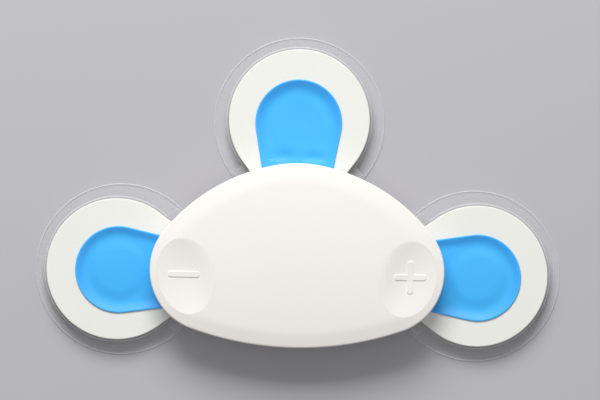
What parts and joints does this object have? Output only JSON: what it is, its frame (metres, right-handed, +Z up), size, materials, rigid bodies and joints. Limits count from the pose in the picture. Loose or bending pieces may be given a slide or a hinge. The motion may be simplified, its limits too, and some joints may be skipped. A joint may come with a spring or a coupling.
{
  "type": "home heart monitor",
  "caption": "Egg-shaped home heart monitor with thumb-dish keys, snapped onto round foam electrode pads that lie on clear release liners.",
  "frame": {"origin": "on the table, at the middle of the footprint of the whole object", "axes": "+X from the minus pad to the plus pad, +Y from the case towards the top pad, +Z up, out of the keys"},
  "size_m": [0.185, 0.1128, 0.0166],
  "materials": {
    "white_case": "satin warm white ABS",
    "white_key": "satin warm white ABS, fine grain",
    "seal_rubber": "soft grey silicone",
    "blue_film": "soft-gloss formed film",
    "white_foam": "closed-cell foam sheet",
    "clear_gel": "clear hydrogel",
    "clear_sheet": "clear formed PET",
    "nickel": "bright nickel plate",
    "brass_spring": "spring bronze",
    "silver_ink": "printed silver ink",
    "board_green": "green solder mask",
    "chip_black": "moulded epoxy",
    "screw_steel": "zinc-plated steel",
    "cell_steel": "drawn stainless can"
  },
  "bodies": {
    "housing": {"top_cover": "white_case", "bottom_cover": "white_case", "case_gasket": "seal_rubber", "minus_switch": "chip_black", "plus_switch": "chip_black", "case_screw_1": "screw_steel", "case_screw_2": "screw_steel", "case_screw_3": "screw_steel", "case_screw_4": "screw_steel", "circuit_board": "board_green", "radio_shield": "nickel", "front_end_chip": "chip_black", "coin_cell": "cell_steel", "battery_plus_contact": "brass_spring", "battery_minus_contact": "brass_spring", "left_snap_socket": "nickel", "left_socket_contact": "brass_spring", "right_snap_socket": "nickel", "right_socket_contact": "brass_spring", "top_snap_socket": "nickel", "top_socket_contact": "brass_spring"},
    "minus_key": {"minus_key": "white_key", "minus_switch_plunger": "nickel"},
    "plus_key": {"plus_key": "white_key", "plus_switch_plunger": "nickel"},
    "battery_door": {"battery_door": "white_case", "door_seal": "seal_rubber"},
    "left_snap_ring": {"left_snap_spring": "screw_steel"},
    "left_electrode": {"left_foam_pad": "white_foam", "left_blue_cover": "blue_film", "left_gel_pad": "clear_gel", "left_sensor_lead": "silver_ink", "left_snap_stud": "nickel", "left_stud_eyelet": "nickel"},
    "left_liner": {"left_release_liner": "clear_sheet"},
    "right_snap_ring": {"right_snap_spring": "screw_steel"},
    "right_electrode": {"right_foam_pad": "white_foam", "right_blue_cover": "blue_film", "right_gel_pad": "clear_gel", "right_sensor_lead": "silver_ink", "right_snap_stud": "nickel", "right_stud_eyelet": "nickel"},
    "right_liner": {"right_release_liner": "clear_sheet"},
    "top_snap_ring": {"top_snap_spring": "screw_steel"},
    "top_electrode": {"top_foam_pad": "white_foam", "top_blue_cover": "blue_film", "top_gel_pad": "clear_gel", "top_sensor_lead": "silver_ink", "top_snap_stud": "nickel", "top_stud_eyelet": "nickel"},
    "top_liner": {"top_release_liner": "clear_sheet"}
  },
  "joints": [
    {"name": "minus_key_press", "type": "slide", "parent": "housing", "child": "minus_key", "axis": [0, 0, -1], "range_m": [0, 0.0006], "stiffness_N_per_m": 300, "springref_m": -0.002},
    {"name": "plus_key_press", "type": "slide", "parent": "housing", "child": "plus_key", "axis": [0, 0, -1], "range_m": [0, 0.0006], "stiffness_N_per_m": 300, "springref_m": -0.002},
    {"name": "battery_door_turn", "type": "hinge", "parent": "housing", "child": "battery_door", "pos_m": [0, -0.02515, 0.0042], "axis": [0, 0, -1], "range_deg": [0, 40]},
    {"name": "left_pad_swivel", "type": "hinge", "parent": "housing", "child": "left_snap_ring", "pos_m": [-0.03893, -0.02605, 0.0073], "axis": [0, 0, 1], "range_deg": [-15, 15]},
    {"name": "left_pad_unsnap", "type": "slide", "parent": "left_snap_ring", "child": "left_electrode", "axis": [0, 0, -1], "range_m": [0, 0.012], "deforming": ["left_snap_spring"]},
    {"name": "left_liner_peel", "type": "slide", "parent": "left_electrode", "child": "left_liner", "axis": [0, 0, -1], "range_m": [0, 0.02]},
    {"name": "right_pad_swivel", "type": "hinge", "parent": "housing", "child": "right_snap_ring", "pos_m": [0.03893, -0.02605, 0.0073], "axis": [0, 0, 1], "range_deg": [-15, 15]},
    {"name": "right_pad_unsnap", "type": "slide", "parent": "right_snap_ring", "child": "right_electrode", "axis": [0, 0, -1], "range_m": [0, 0.012], "deforming": ["right_snap_spring"]},
    {"name": "right_liner_peel", "type": "slide", "parent": "right_electrode", "child": "right_liner", "axis": [0, 0, -1], "range_m": [0, 0.02]},
    {"name": "top_pad_swivel", "type": "hinge", "parent": "housing", "child": "top_snap_ring", "pos_m": [0, 0.00285, 0.0073], "axis": [0, 0, 1], "range_deg": [-15, 15]},
    {"name": "top_pad_unsnap", "type": "slide", "parent": "top_snap_ring", "child": "top_electrode", "axis": [0, 0, -1], "range_m": [0, 0.012], "deforming": ["top_snap_spring"]},
    {"name": "top_liner_peel", "type": "slide", "parent": "top_electrode", "child": "top_liner", "axis": [0, 0, -1], "range_m": [0, 0.02]}
  ]
}
